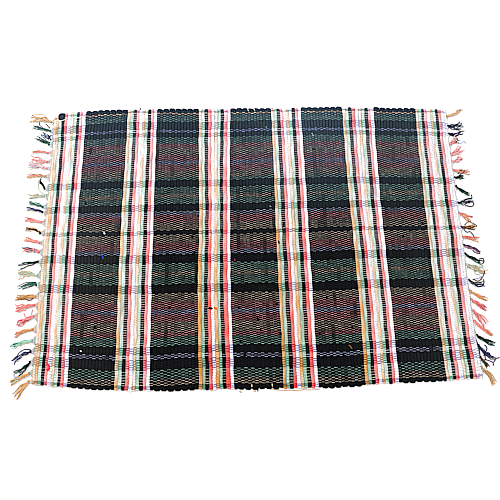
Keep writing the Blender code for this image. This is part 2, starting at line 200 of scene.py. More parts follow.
# Other rag ends and threads, with their colour first
LOOSE_BITS = tuple(("black", *nub) for nub in BLACK_NUBS) + (
    ("navy", 7.6, -431, 954, 0, 48), ("cream", 0.7, -441, 944, 17, 8, 37, 18),
    ("cream", 0.7, -401, 958, 16, 4, 27, 10), ("blue", 1.1, -319, -92, 3, -14, 5, -34),
    ("straw", 0.55, 183, -730, 3, -10, 6, -26), ("white", 1.7, -316, 66, 3, -14),
    ("white", 0.9, -352, -748, 3, -6), ("grey", 0.9, 137, 790, 4, -25),
    ("grey", 0.7, 34, 850, 1, -14), ("red", 1.9, -420, -842, 6, -22, 5, -44, 0, -38),
    ("orange", 2.4, -83, -468, 7, -18), ("maroon", 1, -40, -142, 2, -16),
    ("grey", 0.8, 36, 232, 3, -8), ("tan", 1.2, -39, -1014, 6, -6), ("tan", 1, -11, -1014, 6, -2),
    ("tan", 0.8, -14, -960, 0, -24), ("tan", 0.8, 26, -960, 1, -26),
    ("tan", 0.6, 22, -1006, 22, -4, 49, -6, 72, -6, 96, -4), ("cream", 0.8, -8, 1000, 3, -24),
    ("cream", 0.8, 7, 1002, 3, -24),
)


def smooth_through(at, places, values):
    """Values on the smooth curve through the known ones: each stretch is a cubic whose end
    slopes are those between the neighbouring known points."""
    slopes = np.gradient(values, places)
    at = np.clip(at, places[0], places[-1])
    left = np.clip(np.searchsorted(places, at, side="right") - 1, 0, len(places) - 2)
    span = places[left + 1] - places[left]
    t = (at - places[left]) / span
    rise = values[left] * (2 * t**3 - 3 * t**2 + 1) + values[left + 1] * (3 * t**2 - 2 * t**3)
    return rise + span * (slopes[left] * (t**3 - 2 * t**2 + t) + slopes[left + 1] * (t**3 - t**2))


def places_of(bends):
    """Both coordinates of a row's bends, which are given from the first one."""
    places = np.reshape(bends, (-1, 2))
    return np.vstack((places[:1], places[:1] + places[1:])).T.astype(float)


def pick_edges():
    """Places along the rug where one pick ends and the next begins, from the middle. The ten
    rags of a stripe share its width by the table of widths."""
    widths = np.full(len(PICKS), PICK_WIDTH)
    widths[:END_PICKS] = END_PICK_WIDTH
    widths[-END_PICKS:] = END_PICK_WIDTH
    for row, (_, stop) in zip(STRIPE_WIDTHS, BAND_PICKS[::2]):
        stop -= stop == len(PICKS)
        stripe = widths[stop - len(row):stop]
        share = stripe * row / PICK_WIDTH
        widths[stop - len(row):stop] = share * stripe.sum() / share.sum()
    edges = np.pad(np.cumsum(widths), (1, 0))
    return edges - edges[-1] / 2


def waves(table, along, across):
    """The sum of a table's sines at a place of the weave."""
    return sum(size * np.sin(along * a + across * b + start) for size, a, b, start in table)


def uneven(along, across):
    """A slow swell between -1 and 1, as hand weaving has: the mean of the waves."""
    return waves(SWELL_WAVES, along, across) / len(SWELL_WAVES)


def plan(along, across):
    """Floor place of a point of the weave. The selvedges come from the table of sections,
    and a stripe leans along the parabola through its three leans."""
    places = SECTIONS["along"] * MM
    column = {name: smooth_through(along, places, SECTIONS[name] * MM)
              for name in SECTIONS.dtype.names[1:]}
    y = column["near"] + (across + 1) / 2 * (column["far"] - column["near"])
    lean = (column["lean_far"] * across * (across + 1) / 2
            + column["lean_mid"] * (1 - across**2)
            + column["lean_near"] * across * (across - 1) / 2)
    return along + lean, y


def shift_of_plan():
    """From the middle of the box that the plan gives, with the turns' bulges, to the middle
    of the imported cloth's box."""
    across = np.linspace(-1, 1, 81)
    left, right = plan(EDGES[0], across)[0].min(), plan(EDGES[-1], across)[0].max()
    bulge = LOOP_BULGE * (1 + TURN_SWELL * uneven(CENTRES, 0.0))
    far, near = (plan(CENTRES, 1.0)[1] + bulge).max(), (plan(CENTRES, -1.0)[1] - bulge).min()
    low, high = (np.array(corner[:2]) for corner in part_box("rug_cloth"))
    return (low + high) / 2 - np.array((left + right, near + far)) / 2


def stray(table, rows, columns, along, across):
    """A table's value between its rows and columns, in metres: the four numbers round the
    place, each by how near it is. Past its rim the last numbers go on."""
    row = np.interp(-across, -rows, np.arange(len(rows)))
    column = np.interp(along, columns, np.arange(len(columns)))
    top = np.clip(row.astype(int), 0, len(rows) - 2)
    left = np.clip(column.astype(int), 0, len(columns) - 2)
    down, right = row - top, column - left
    upper = table[top, left] * (1 - right) + table[top, left + 1] * right
    lower = table[top + 1, left] * (1 - right) + table[top + 1, left + 1] * right
    return (upper * (1 - down) + lower * down) * MM


def lay_out(along, across):
    """Place of a point of the weave in the frame: the plan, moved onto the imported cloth, plus
    what the weave strays and a small quick drift, as rows beaten up by hand have."""
    along, across = np.broadcast_arrays(along, across)
    x, y = plan(along, across)
    x = x + stray(STRAY_ALONG, STRAY_ALONG_ROWS, GROUP_CENTRES, along, across)
    y = y + stray(STRAY_ACROSS, STRAY_ACROSS_ROWS, STRAY_ACROSS_COLUMNS, along, across)
    return (x + SHIFT[0] + waves(DRIFT_ALONG, along, across) * MM,
            y + SHIFT[1] + waves(DRIFT_ACROSS, along, across) * MM)


def rough(seed, rows, steps, every):
    """Smooth random values of about -1 to 1, in rows that many steps long: a random value at
    every so many steps, joined by half cosine waves."""
    knots = np.random.default_rng(seed).uniform(-1, 1, (rows, steps // every + 2))
    place = np.arange(steps) / every
    left = place.astype(int)
    ease = (1 - np.cos((place - left) * np.pi)) / 2
    return knots[:, left] * (1 - ease) + knots[:, left + 1] * ease


def linear(colour):
    """Light values of a colour given as the 0 to 255 that a screen shows."""
    share = np.clip(np.asarray(colour, float) / 255, 0, 1)
    return np.where(share <= 0.04045, share / 12.92, ((share + 0.055) / 1.055) ** 2.4)


def screen(light):
    """The 0 to 255 that a screen shows for light values, the inverse of linear."""
    return 255 * np.where(light <= 0.0031308, light * 12.92, 1.055 * light ** (1 / 2.4) - 0.055)


def bleach(x, y):
    """How far the sun has bleached the cloth: the table's value 0.2 m on the near side of the
    middle, 1 as far on its far side, and the same slope a little past both."""
    near = np.interp(x, GROUP_CENTRES, BLEACH_NEAR)
    return (near + (1 - near) * np.clip((y + 0.2) / 0.4, -0.3, 1.1))[..., None]


def veiled(colour, x, y):
    """A screen colour with the grey-blue light that lies over the far side, most of all right
    of the middle, and more faintly over both ends."""
    far = np.clip((y + 0.06) / 0.37, 0, 1) ** 1.6 * (1 + 0.9 * np.exp(-((x - 0.13) / 0.13) ** 2))
    left = np.clip((-x - 0.2) / 0.15, 0, 1) * (0.5 + 0.8 * np.exp(-(y / 0.1) ** 2))
    right = np.clip((x - 0.24) / 0.2, 0, 1)
    veil = sum(share[..., None] * light for share, light in zip((far, left, right), VEILS))
    return screen(np.clip(linear(colour) + veil, 0, 1))


def faded(colour, x, y):
    """The screen colour of a yarn as the sun has bleached it: it moves towards white by its
    own lightness squared times half the bleach."""
    lightness = colour.max(axis=-1, keepdims=True) / 255
    return veiled(colour + (PALEST - colour) * FADE * bleach(x, y) * lightness**2, x, y)


def rag_colour(picks, x, y):
    """Screen colour of the rags with these numbers, between dyed and bleached. Each rag's share
    of bleach also wanders along it, by two sines that start at other places on every rag."""
    dyed, bleached = np.array([RAG_COLOURS[name] for name in PICKS[picks]], float).swapaxes(0, 1)
    wander = sum(size * np.sin(y / wave + start * picks) for size, wave, start in WANDER)
    return dyed + (bleached - dyed) * (bleach(x, y) + wander[..., None])


def tubes(centres, half_width, half_height, outline, colours):
    """Closed tubes through centres, an array of strands by rings by X, Y and Z. A point of the
    skin is its ring's centre, plus half_width times the outline's first number sideways, level
    and square to the strand, plus half_height times its second upward, square to both."""
    along = np.gradient(centres, axis=1)
    along /= np.linalg.norm(along, axis=-1, keepdims=True)
    sideways = np.stack((-along[..., 1], along[..., 0], np.zeros(along.shape[:2])), axis=-1)
    sideways /= np.linalg.norm(sideways, axis=-1, keepdims=True)
    upward = np.cross(along, sideways)
    wide = (half_width[..., None] * outline[..., 0])[..., None] * sideways[:, :, None]
    high = (half_height[..., None] * outline[..., 1])[..., None] * upward[:, :, None]
    steps = np.linalg.norm(np.diff(centres, axis=1), axis=-1)
    reach = np.pad(np.cumsum(steps, axis=1), ((0, 0), (1, 0)))
    return centres[:, :, None] + wide + high, reach, colours


def map_points(u, v, corners):
    """A map's points for these face corners, as rows of U and V."""
    return np.stack([np.broadcast_to(part, corners.shape) for part in (u, v)], axis=-1).reshape(-1, 2)


def add_object(name, data):
    """A new object of the scene with this data."""
    made = bpy.data.objects.new(name, data)
    bpy.context.scene.collection.objects.link(made)
    return made


def strand_piece(name, blocks, material):
    """One mesh of many tubes, each with its colours, a map named strand that runs in metres
    along a tube and once round it, and a bake map where each tube has a row of its own. A tube
    has four-sided faces between its rings and a cap at both ends."""
    points, colours, corners, sizes, strand_map, bake_map = [], [], [], [], [], []
    rows = sum(len(skin) for skin, _, _ in blocks)
    first, row = 0, 0
    for skin, reach, tint in blocks:
        strands, rings, sides = skin.shape[:3]
        lane = np.arange(strands)[:, None, None, None]
        ring = np.arange(rings - 1)[:, None, None] + RING_STEP
        side = np.arange(sides)[:, None] + SIDE_STEP
        faces = first + (lane * rings + ring) * sides + side % sides
        strand_map.append(map_points(reach[lane, ring], side / sides, faces))
        bake_map.append(map_points(ring / (rings - 1) * 0.98 + 0.01,
                                   (row + lane + 0.92 * (side / sides) + 0.04) / rows, faces))
        lane = lane[..., 0]
        turn = 2 * np.pi * np.arange(sides) / sides
        cap = first + lane * rings * sides + np.arange(sides)
        caps = np.concatenate((cap[..., ::-1], cap + (rings - 1) * sides), axis=1)
        strand_map.append(map_points(reach[:, ::rings - 1, None], 0.5, caps))
        bake_map.append(map_points(np.array(((0.005,), (0.995,))) + 0.004 * np.cos(turn),
                                   (row + lane + 0.5 + 0.4 * np.sin(turn)) / rows, caps))
        for polygons in (faces.reshape(-1, 4), caps.reshape(-1, sides)):
            corners.append(polygons.ravel())
            sizes.append(np.full(len(polygons), polygons.shape[1]))
        points.append(skin.reshape(-1, 3))
        tint = tint if tint.ndim == 4 else tint[:, :, None]
        colours.append(np.broadcast_to(tint, skin.shape).reshape(-1, 3))
        first += strands * rings * sides
        row += strands
    mesh = bpy.data.meshes.new(name)
    points, corners, sizes = (np.concatenate(part) for part in (points, corners, sizes))
    mesh.vertices.add(len(points))
    mesh.vertices.foreach_set("co", points.astype(np.float32).ravel())
    mesh.loops.add(len(corners))
    mesh.loops.foreach_set("vertex_index", corners.astype(np.int32))
    mesh.polygons.add(len(sizes))
    mesh.polygons.foreach_set("loop_start", (np.cumsum(sizes) - sizes).astype(np.int32))
    mesh.update(calc_edges=True)
    dye = linear(np.concatenate(colours))
    dye = np.column_stack((dye, np.ones(len(dye))))
    mesh.attributes.new("dye", "FLOAT_COLOR", "POINT").data.foreach_set("color", dye.ravel())
    for layer, values in (("strand", strand_map), ("OFBake", bake_map)):
        values = np.concatenate(values).astype(np.float32)
        mesh.uv_layers.new(name=layer).data.foreach_set("uv", values.ravel())
    mesh.shade_smooth()
    mesh.materials.append(material)
    piece = add_object(name, mesh)
    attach(piece, "root")
    return piece


def add_node(tree, kind, *inputs, **named):
    """A shader node. Its inputs, in order or by name, take a value, a socket or a node, which
    stands for its first output. A name that is no input is a setting of the node."""
    node = tree.nodes.new("ShaderNode" + kind)
    filled = list(zip(node.inputs, inputs))
    for name, value in named.items():
        socket = node.inputs.get(name.replace("_", " ").title())
        if socket is None:
            setattr(node, name, value)
        else:
            filled.append((socket, value))
    for socket, value in filled:
        value = value.outputs[0] if isinstance(value, bpy.types.Node) else value
        if isinstance(value, bpy.types.NodeSocket):
            tree.links.new(value, socket)
        else:
            socket.default_value = value
    return node


def new_group(name, inputs):
    """An empty node group with these inputs and the outputs Height and Tone, and its sockets
    at both ends as they are inside it."""
    tree = bpy.data.node_groups.new(name, "ShaderNodeTree")
    for way, names in (("INPUT", inputs), ("OUTPUT", ("Height", "Tone"))):
        for socket in names:
            kind = "NodeSocketVector" if socket == "Vector" else "NodeSocketFloat"
            tree.interface.new_socket(name=socket, in_out=way, socket_type=kind)
    return tree, tree.nodes.new("NodeGroupInput").outputs, tree.nodes.new("NodeGroupOutput").inputs


def give_out(tree, end, height, low, high, dark, light):
    """Links a height to the group's outputs: as it is, and as a tone that runs from dark where
    the height is low to light where it is high."""
    tone = add_node(tree, "MapRange", height, from_min=low, from_max=high, to_min=dark, to_max=light)
    tree.links.new(height.outputs[0], end["Height"])
    tree.links.new(tone.outputs["Result"], end["Tone"])


def cotton_grain():
    """Node group for cotton's loose fibres: fine noise and coarser lumps added up, as a height
    and as a tone that scales the colour by a little under or over 1."""
    tree, start, end = new_group("cotton_grain", ("Vector", "Scale"))
    fibres = add_node(tree, "TexNoise", vector=start["Vector"], scale=start["Scale"],
                      detail=3.0, roughness=0.65)
    smaller = add_node(tree, "Math", start["Scale"], 0.22, operation="MULTIPLY")
    lumps = add_node(tree, "TexNoise", vector=start["Vector"], scale=smaller,
                     detail=2.0, roughness=0.5)
    height = add_node(tree, "Math", fibres, lumps, operation="ADD")
    give_out(tree, end, height, 0.6, 1.4, 0.62, 1.34)
    return tree


def dyed_cotton(name, roughness, sheen, bump, distance, grain_scale):
    """A cotton material whose colour is the dye on the mesh, its tree, the sockets that scale
    the dye and raise the surface, the place on the object, and the fibres' grain there."""
    material = bpy.data.materials.new(name)
    material.use_nodes = True
    tree = material.node_tree
    shader = tree.nodes["Principled BSDF"]
    shader.inputs["Roughness"].default_value = roughness
    shader.inputs["Sheen Weight"].default_value = sheen
    shader.inputs["Sheen Roughness"].default_value = 0.5
    shader.inputs["Specular IOR Level"].default_value = 0.08
    dye = add_node(tree, "Attribute", attribute_name="dye")
    scaled = add_node(tree, "VectorMath", dye, operation="SCALE")
    raised = add_node(tree, "Bump", strength=bump, distance=distance)
    tree.links.new(scaled.outputs["Vector"], shader.inputs["Base Color"])
    tree.links.new(raised.outputs["Normal"], shader.inputs["Normal"])
    place = add_node(tree, "TexCoord").outputs["Object"]
    grain = add_node(tree, "Group", node_tree=GRAIN, vector=place, scale=grain_scale)
    return material, tree, scaled.inputs["Scale"], raised.inputs["Height"], place, grain.outputs


def rag_cotton():
    """The rags' cotton: long folds that run with the strip, from noise drawn out along Y, and
    the fibres' grain. Together they scale the dye and raise the surface; in the dye the folds
    are painted light on their crests and painted shade in their hollows."""
    material, tree, tint, skin, place, grain = dyed_cotton(
        "rag_cotton", 0.95, 0.02, 0.6, 0.5 * MM, 2600.0)
    drawn = add_node(tree, "Mapping", vector=place, scale=(1.0, 0.09, 1.0))
    folds = add_node(tree, "TexNoise", vector=drawn, scale=620.0, detail=2.5, roughness=0.55)
    # Painted light and shade of the folds: the dye is lighter where a fold is high and darker where it
    # is low.
    fold_painted_light = add_node(tree, "MapRange", folds, from_min=0.3, from_max=0.7, to_min=0.8, to_max=1.16)
    tone = add_node(tree, "Math", fold_painted_light, grain["Tone"], operation="MULTIPLY")
    height = add_node(tree, "Math", grain["Height"], 0.35, folds, operation="MULTIPLY_ADD")
    tree.links.new(tone.outputs[0], tint)
    tree.links.new(height.outputs[0], skin)
    return material


def rag_tint(picks, x, y, dark=0.0):
    """Screen colour of each rag at each ring, a little lighter or darker from one rag to the
    next and along it. Black rags turn navy towards the far left corner, where the light is
    coldest, and carry painted light on their tops and painted shade where they round off.
    The numbers in dark are how far the black warps show through at each ring."""
    names = PICKS[picks][:, None, None]
    base = rag_colour(picks, x.T, y.T).transpose(1, 0, 2)
    glow = np.array([DARK_OVER.get(name, RAG_COLOURS["black"][0]) for name in PICKS[picks]], float)
    faint = np.where(np.isin(names, ("white", "cream")), 0.45, 1.0)
    base = base + (glow[:, None] - base) * np.reshape(dark, (1, -1, 1)) * faint
    strip = RAG_SHADE[picks][:, None, None]
    along = rough(41, len(PICKS), x.shape[1], 23)[picks][..., None]
    shade = np.where(np.isin(names, ("black", "charcoal")),
                     1 + 0.35 * strip + 0.15 * along, 1 + 0.012 * strip + 0.03 * along)
    field = names == "black"
    navy = np.clip((y - x - 0.25) / 0.5, 0, 1)[..., None] * np.array((-4.0, 0.0, 14.0))
    tint = veiled(np.clip(base * shade + np.where(field, navy, 0.0), 0, 255), x, y)
    # Painted light and shade on the black rags: their colour is scaled at each corner of the outline,
    # lighter on top and darker at the sides and underside.
    return tint[:, :, None] * np.where(field[..., None], PAINTED_RIB_LIGHT[:, None], 1.0)


def rag_rows(picks):
    """The straight run of each rag: a ring at each warp, pressed down where the warp is over
    it and up where it is under, and three more at both ends. A free end is drawn in to a blunt
    tip, and an end that turns stops inside its turn."""
    along = CENTRES[picks][:, None]
    x, y = lay_out(along, WARP_ACROSS)
    under = np.where((picks[:, None] + np.arange(WARPS)) % 2 == 0, -RAG_DIP, RAG_DIP)
    fill = np.array([FILLS.get(name, LIGHT_FILL) for name in PICKS[picks]])[:, None]
    width = np.diff(EDGES)[picks][:, None] / 2 * fill
    width = width * (1 + 0.05 * rough(5, len(PICKS), WARPS, 11)[picks])
    swell = 1 + RIB_SWELL * uneven(along, WARP_ACROSS)
    height = RAG_HALF_HEIGHT * swell * (1 + 0.1 * rough(7, len(PICKS), WARPS, 9)[picks])
    z = MIDDLE_Z * swell + under * (1 + 0.3 * rough(3, len(PICKS), WARPS, 5)[picks])

    ends = []
    for side, sign in ((0, 1.0), (-1, -1.0)):
        turns = TURNS[picks, side][:, None]
        inset = np.where(turns, TURN_INSETS, FREE_INSETS + FREE_SLACK[picks, side][:, None])
        taper = np.where(turns, (0.7, 0.8, 0.9), (0.45, 0.85, 1.0))
        edge_x, edge_y = lay_out(along, np.full(3, sign))
        ends.append((edge_x, edge_y - sign * inset, np.full(edge_x.shape, MIDDLE_Z),
                     width[:, side][:, None] * taper, height[:, side][:, None] * taper))
    far, near = ends
    near = tuple(part[:, ::-1] for part in near)
    x, y, z, width, height = (np.concatenate(parts, axis=1)
                              for parts in zip(far, (x, y, z, width, height), near))
    lumps = [rough(50 + side, len(PICKS), x.shape[1], 7)[picks] for side in range(len(RAG_OUTLINE))]
    outline = RAG_OUTLINE * (1 + 0.09 * np.stack(lumps, axis=-1))[..., None]
    shown = np.pad([SHOWN_WARP * (name == "black") for name in WARP_NAMES], 3)
    return tubes(np.stack((x, y, z), axis=-1), width, height, outline, rag_tint(picks, x, y, shown))


def rag_turns(picks, side):
    """The turns at one selvedge, each from a black rag to the next: in plan half a rounded
    square, by powers under one of a half circle's cosine and sine, with its ends on the rags."""
    first = np.array([pick for pick in picks if STARTS_TURN[pick, side]])
    if not len(first):
        return []
    sign = 1.0 if side == 0 else -1.0
    angle = np.linspace(0, np.pi, TURN_RINGS)
    left_x, edge_y = lay_out(CENTRES[first], sign)
    right_x, _ = lay_out(CENTRES[first + 1], sign)
    radius = ((right_x - left_x) / 2)[:, None]
    swell = (1 + 0.25 * rough(61 + side, 1, len(PICKS), 2)[0][first])[:, None]
    wide = radius * (1 + 0.12 * np.sin(angle) ** 0.5)
    x = ((left_x + right_x) / 2)[:, None] - wide * np.sign(np.cos(angle)) * np.abs(np.cos(angle)) ** 0.6
    y = edge_y[:, None] + sign * (0.36 * radius * swell * np.sin(angle) ** 0.7 - TURN_INSET)
    z = MIDDLE_Z + 0.3 * MM * np.sin(angle * 2) * swell
    centres = np.stack((x, y, z), axis=-1)
    fat = 1 + 0.08 * rough(63 + side, len(first), TURN_RINGS, 3)
    if side == 1:
        centres = centres[:, ::-1]
    colours = rag_tint(first, x, y) + (FAR_TURN_TINT if side == 0 else 0.0)
    return [tubes(centres, TURN_HALF_WIDTH * fat, RAG_HALF_HEIGHT * 1.12 * fat, RAG_OUTLINE, colours)]


def loose_bits(start, stop):
    """The bits of the table that stick out of these picks: short tubes on a smooth curve
    through their bends, blunt at both ends, lying on the weave, or on the floor beside it."""
    s = np.linspace(0, 1, 7)
    skins = []
    for name, half, *bends in LOOSE_BITS:
        along, across = places_of(bends)
        across = across / 1000
        if not EDGES[start] <= along[0] * MM < EDGES[stop]:
            continue
        steps = np.linspace(0, 1, len(along))
        x, y = lay_out(smooth_through(s, steps, along * MM), smooth_through(s, steps, across))
        flat = min(half, 1.5) * MM
        lift = MIDDLE_Z + (1.2 if half > 2 else 2.3) * MM if max(abs(across)) < 1.005 else flat
        z = lift + 0.4 * MM * np.sin(np.pi * s)
        blunt = 0.45 + 0.55 * np.sin(np.pi * s) ** 0.4
        colour = veiled(np.array(BIT_COLOURS[name]), x, y)
        skins.append(tubes(np.stack((x, y, z), axis=-1)[None], (half * MM * blunt)[None],
                           (flat * blunt)[None], RAG_OUTLINE, colour[None]))
    return skins


PICKS = ["header"]
BAND_PICKS = []
for band in BANDS:
    start = len(PICKS) if BAND_PICKS else 0
    PICKS += STRIPE if band.startswith("stripes") else FIELD
    BAND_PICKS.append((start, len(PICKS)))
PICKS = np.array(PICKS + ["cream"])
BAND_PICKS[-1] = (BAND_PICKS[-1][0], len(PICKS))
EDGES = pick_edges()
CENTRES = (EDGES[:-1] + EDGES[1:]) / 2
SHIFT = shift_of_plan()
GROUP_CENTRES = np.array([CENTRES[first:first + GROUP].mean() for start, _ in BAND_PICKS[::2]
                          for first in (max(start, 1), max(start, 1) + GROUP)])
CLOTH_WIDTH = float((SECTIONS["far"] - SECTIONS["near"]).mean()) * MM
WARP_ACROSS = np.linspace(WARP_REACH, -WARP_REACH, WARPS)
WARP_ACROSS[:len(FAR_EDGE_WARPS)] = 1 - 2 * FAR_EDGE_WARPS / CLOTH_WIDTH
WARP_ACROSS[-len(FAR_EDGE_WARPS):] = -np.linspace(*NEAR_EDGE_WARPS, len(FAR_EDGE_WARPS))
RAG_SHADE = np.random.default_rng(11).uniform(-1, 1, len(PICKS))
FREE_SLACK = np.random.default_rng(12).uniform(-1.2, 1.0, (len(PICKS), 2)) * MM
# A black rag turns into the next one at the far selvedge, and that one at the near selvedge
TURNS = np.zeros((len(PICKS), 2), bool)
STARTS_TURN = np.zeros((len(PICKS), 2), bool)
for start, stop in BAND_PICKS[1::2]:
    for pick in range(start, stop - 1):
        side = (pick - start) % 2
        TURNS[pick:pick + 2, side] = True
        STARTS_TURN[pick, side] = True
GRAIN = cotton_grain()
RAG = rag_cotton()
for band, (start, stop) in zip(BANDS, BAND_PICKS):
    picks = np.arange(start, stop)
    blocks = [rag_rows(picks)] + rag_turns(picks, 0) + rag_turns(picks, 1) + loose_bits(start, stop)
    piece = strand_piece(band, blocks, RAG)
    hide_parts("rug_cloth")

# Warp yarns
# Thin two-ply cotton yarns in bands of six colours, stretched on the loom before the rags go
# in. Each passes over one rag and under the next. Past the last rag it runs to a knot.
WARP_COLOURS = {
    "black": (12, 14, 21), "tan": (206, 190, 172), "green": (140, 178, 168),
    "lavender": (172, 177, 208), "lilac": (150, 158, 206), "blue": (186, 186, 224),
    "sand": (240, 200, 164), "red": (226, 150, 157),
}
PLAIN_YARNS = {  # where they run bare from the last rag to the knots
    "black": (96, 98, 104), "tan": (236, 200, 162), "green": (150, 190, 170),
    "lavender": (206, 208, 240), "blue": (190, 200, 236), "red": (252, 130, 128),
    "lilac": (206, 208, 240), "sand": (236, 200, 162),
}
PALE_YARN = 248  # and how far painted light washes them towards this white at the left and right end
GATHER_PAINTED_LIGHT = (0.65, 0.85)
BRIGHT_RUNG = 246  # a light yarn nears this white on a charcoal rag
WARP_HALF_WIDTH = 0.57 * MM
FAT_YARNS = {"black": 0.95 * MM, "sand": 0.8 * MM, "lilac": 0.78 * MM}
WARP_HALF_HEIGHT = 0.5 * MM
WARP_RISE = 1.66 * MM  # from the weave's middle to the middle of a yarn over a rag
FLOAT_HALF = 0.35  # half the length of a float, as a share of the pick
WARP_OUTLINE = np.array(((0.9, -0.45), (0.0, 1.0), (-0.9, -0.45)))
KNOT_OUT = 4.6 * MM
KNOT_Z = 3.1 * MM
TASSEL_COLUMNS = ("root", "knot", "mid_out", "mid", "tip_out", "tip", "spread", "wave")


def tassel_table(rows):
    """An array of the rows' eight sizes in mm, and the main and the second yarn of each."""
    sizes = np.array([row[:-1] for row in rows], dtype=[(name, float) for name in TASSEL_COLUMNS])
    return sizes, [row[-1].split() for row in rows]


# root is where the tassel leaves the end, from the rug's middle line. knot, mid and tip lie that
# far towards the far side of it. spread is its half width at the tip, and wave how far its yarns
# snake. Its main yarn and its second one come last.
LEFT_TASSELS, LEFT_YARNS = tassel_table((
    (289, -1, 22, 6, 52, 8, 5.5, 1.2, "tan orange"),
    (269, -4, 18, 0, 43, 8, 3, 0.8, "green navy"),
    (251, -2, 12, 0, 24, 7, 4, 1.4, "navy lavender"),
    (236, -5, 12, 1, 36, 13, 3.5, 0.8, "green black"),
    (215, -5, 24, -1, 40, -3, 2.6, 0.8, "coral tan"),
    (193, -5, 22, -2, 43, 1, 6.5, 1.8, "coral pink"),
    (174, -2, 21, 4, 46, 7, 3.4, 1.2, "pink lavender"),
    (159, -6, 24, -4, 45, -5, 3.8, 0.9, "tan coral"),
    (128, -5, 10, 5, 18, 15, 2.6, 0.7, "black green"),
    (102, 4, 19, 4, 36, 2, 2.6, 1, "pale_green tan"),
    (81, -1, 18, 5, 35, 10, 2.8, 0.9, "green mint"),
    (65, 3, 17, 8, 38, 13, 3.2, 0.9, "navy lavender"),
    (48, -3, 21, 1, 40, 5, 4.2, 0.9, "coral coral"),
    (16, 4, 15, 12, 36, 15, 3, 0.8, "black tan"),
    (-6, 4, 19, 9, 36, 13, 3, 1, "coral tan"),
    (-22, 0, 17, 5, 39, 8, 4.2, 1.2, "coral purple"),
    (-40, -4, 21, -8, 43, -13, 4.6, 0.8, "black green"),
    (-72, -2, 25, 3, 43, 0, 4.4, 1.2, "pale_green tan"),
    (-101, 7, 13, 10, 42, 0, 4.2, 0.9, "green black"),
    (-115, -4, 22, -5, 43, -6, 3.8, 1, "orange tan"),
    (-136, -1, 20, -4, 40, -8, 4.2, 1.3, "coral pink"),
    (-155, -5, 22, -13, 37, -20, 6, 1.6, "coral crimson"),
    (-191, 4, 24, 0, 39, -8, 3.2, 0.8, "orange coral"),
    (-212, 2, 27, -3, 44, -10, 3.2, 0.7, "mint green"),
    (-230, -2, 21, -8, 38, -20, 3.6, 0.8, "navy lavender"),
    (-249, -4, 15, -16, 31, -28, 4.6, 0.9, "black green"),
    (-275, 0, 23, -9, 41, -18, 3.4, 0.8, "orange mint"),
    (-289, -2, 15, -13, 28, -33, 4.4, 0.9, "orange tan"),
))
RIGHT_TASSELS, RIGHT_YARNS = tassel_table((
    (282, 0, 24, 6, 38, 18, 3.4, 0.9, "tan orange"),
    (259, -2, 19, -3, 38, -1, 7, 1.6, "navy black"),
    (236, 1, 17, 0, 37, 6, 3.8, 1.2, "navy black"),
    (214, -3, 12, 4, 24, 12, 4, 1, "coral green"),
    (188, -3, 16, 3, 30, 13, 5, 1.2, "coral pink"),
    (166, 2, 16, 5, 23, 13, 4, 1.4, "pink crimson"),
    (149, -2, 20, -5, 37, -8, 4, 1.2, "coral tan"),
    (128, 1, 14, 3, 24, 5, 2.8, 0.8, "black brown"),
    (111, -3, 17, -14, 31, -22, 2.4, 0.8, "black green"),
    (69, 0, 20, 3, 36, 6, 3.6, 1, "black lavender"),
    (49, -4, 15, -10, 28, -18, 5, 1.4, "coral orange"),
    (14, -1, 18, -2, 33, -1, 3.4, 1, "brown orange"),
    (-7, -2, 21, -5, 36, -9, 3.4, 0.9, "coral orange"),
    (-25, -3, 20, -9, 35, -19, 3.4, 1, "purple pink"),
    (-43, -4, 19, -14, 39, -24, 3.4, 0.8, "black green"),
    (-68, -3, 23, -12, 41, -20, 7, 1.6, "pale_green tan"),
    (-101, -4, 18, -12, 33, -10, 4.6, 1.2, "black lavender"),
    (-126, -2, 20, -12, 35, -20, 3.6, 0.9, "orange pink"),
    (-144, -2, 18, -12, 32, -22, 3.6, 0.9, "coral crimson"),
    (-164, -5, 15, -18, 25, -34, 5.6, 1.2, "coral pink"),
    (-188, -3, 18, -18, 34, -31, 3.6, 0.8, "coral orange"),
    (-218, -2, 21, -12, 38, -19, 3.6, 0.9, "black green"),
    (-238, -2, 15, -17, 34, -30, 2.8, 0.9, "navy purple"),
    (-260, -4, 12, -13, 18, -24, 2.6, 0.8, "brown green"),
    (-281, -3, 16, -17, 26, -36, 5, 1, "tan orange"),
))


# Single yarns that curl away from their tassels: the colour, how far the first bend lies out of
# the cloth's end and from the rug's middle line, and the other bends from the first, in mm
LEFT_STRAYS = (
    ("tan", 51, 307, -16, 1, -30, -2, -35, -7, -42, -16), ("brown", 17, 284, -5, -5, -11, -12),
    ("purple", 31, 288, 0, -5, -3, -10, -10, -15), ("navy", 8, 255, -4, -6, -6, -13),
    ("navy", 1, 256, 4, -7, 7, -12), ("black", 2, 234, 4, -5, 1, 4),
    ("black", 2, 122, 7, 10, 13, 15, 13, 27), ("pale_green", 19, 136, -1, -11, -8, -21, -16, -27),
    ("tan", 15, 29, -7, -6, -8, -12),
    ("orange", 39, -119, -11, 1, -23, 4, -32, 3, -34, -1, -30, -2),
    ("brown", 42, -124, -19, 0, -28, -3, -34, 3),
    ("coral", 6, -134, 10, -7, 20, -7, 31, -12, 34, -15, 26, -15, 15, -13),
    ("coral", 8, -146, 1, -11, 3, -16), ("coral", 25, -153, -5, -8, -13, -10),
    ("navy", 42, -249, -7, 3, -15, 15, -29, 22, -37, 20, -39, 16),
    ("navy", 36, -256, -6, 8, -14, 13), ("lavender", 35, -272, -2, -9, -9, -12, -13, -7),
)
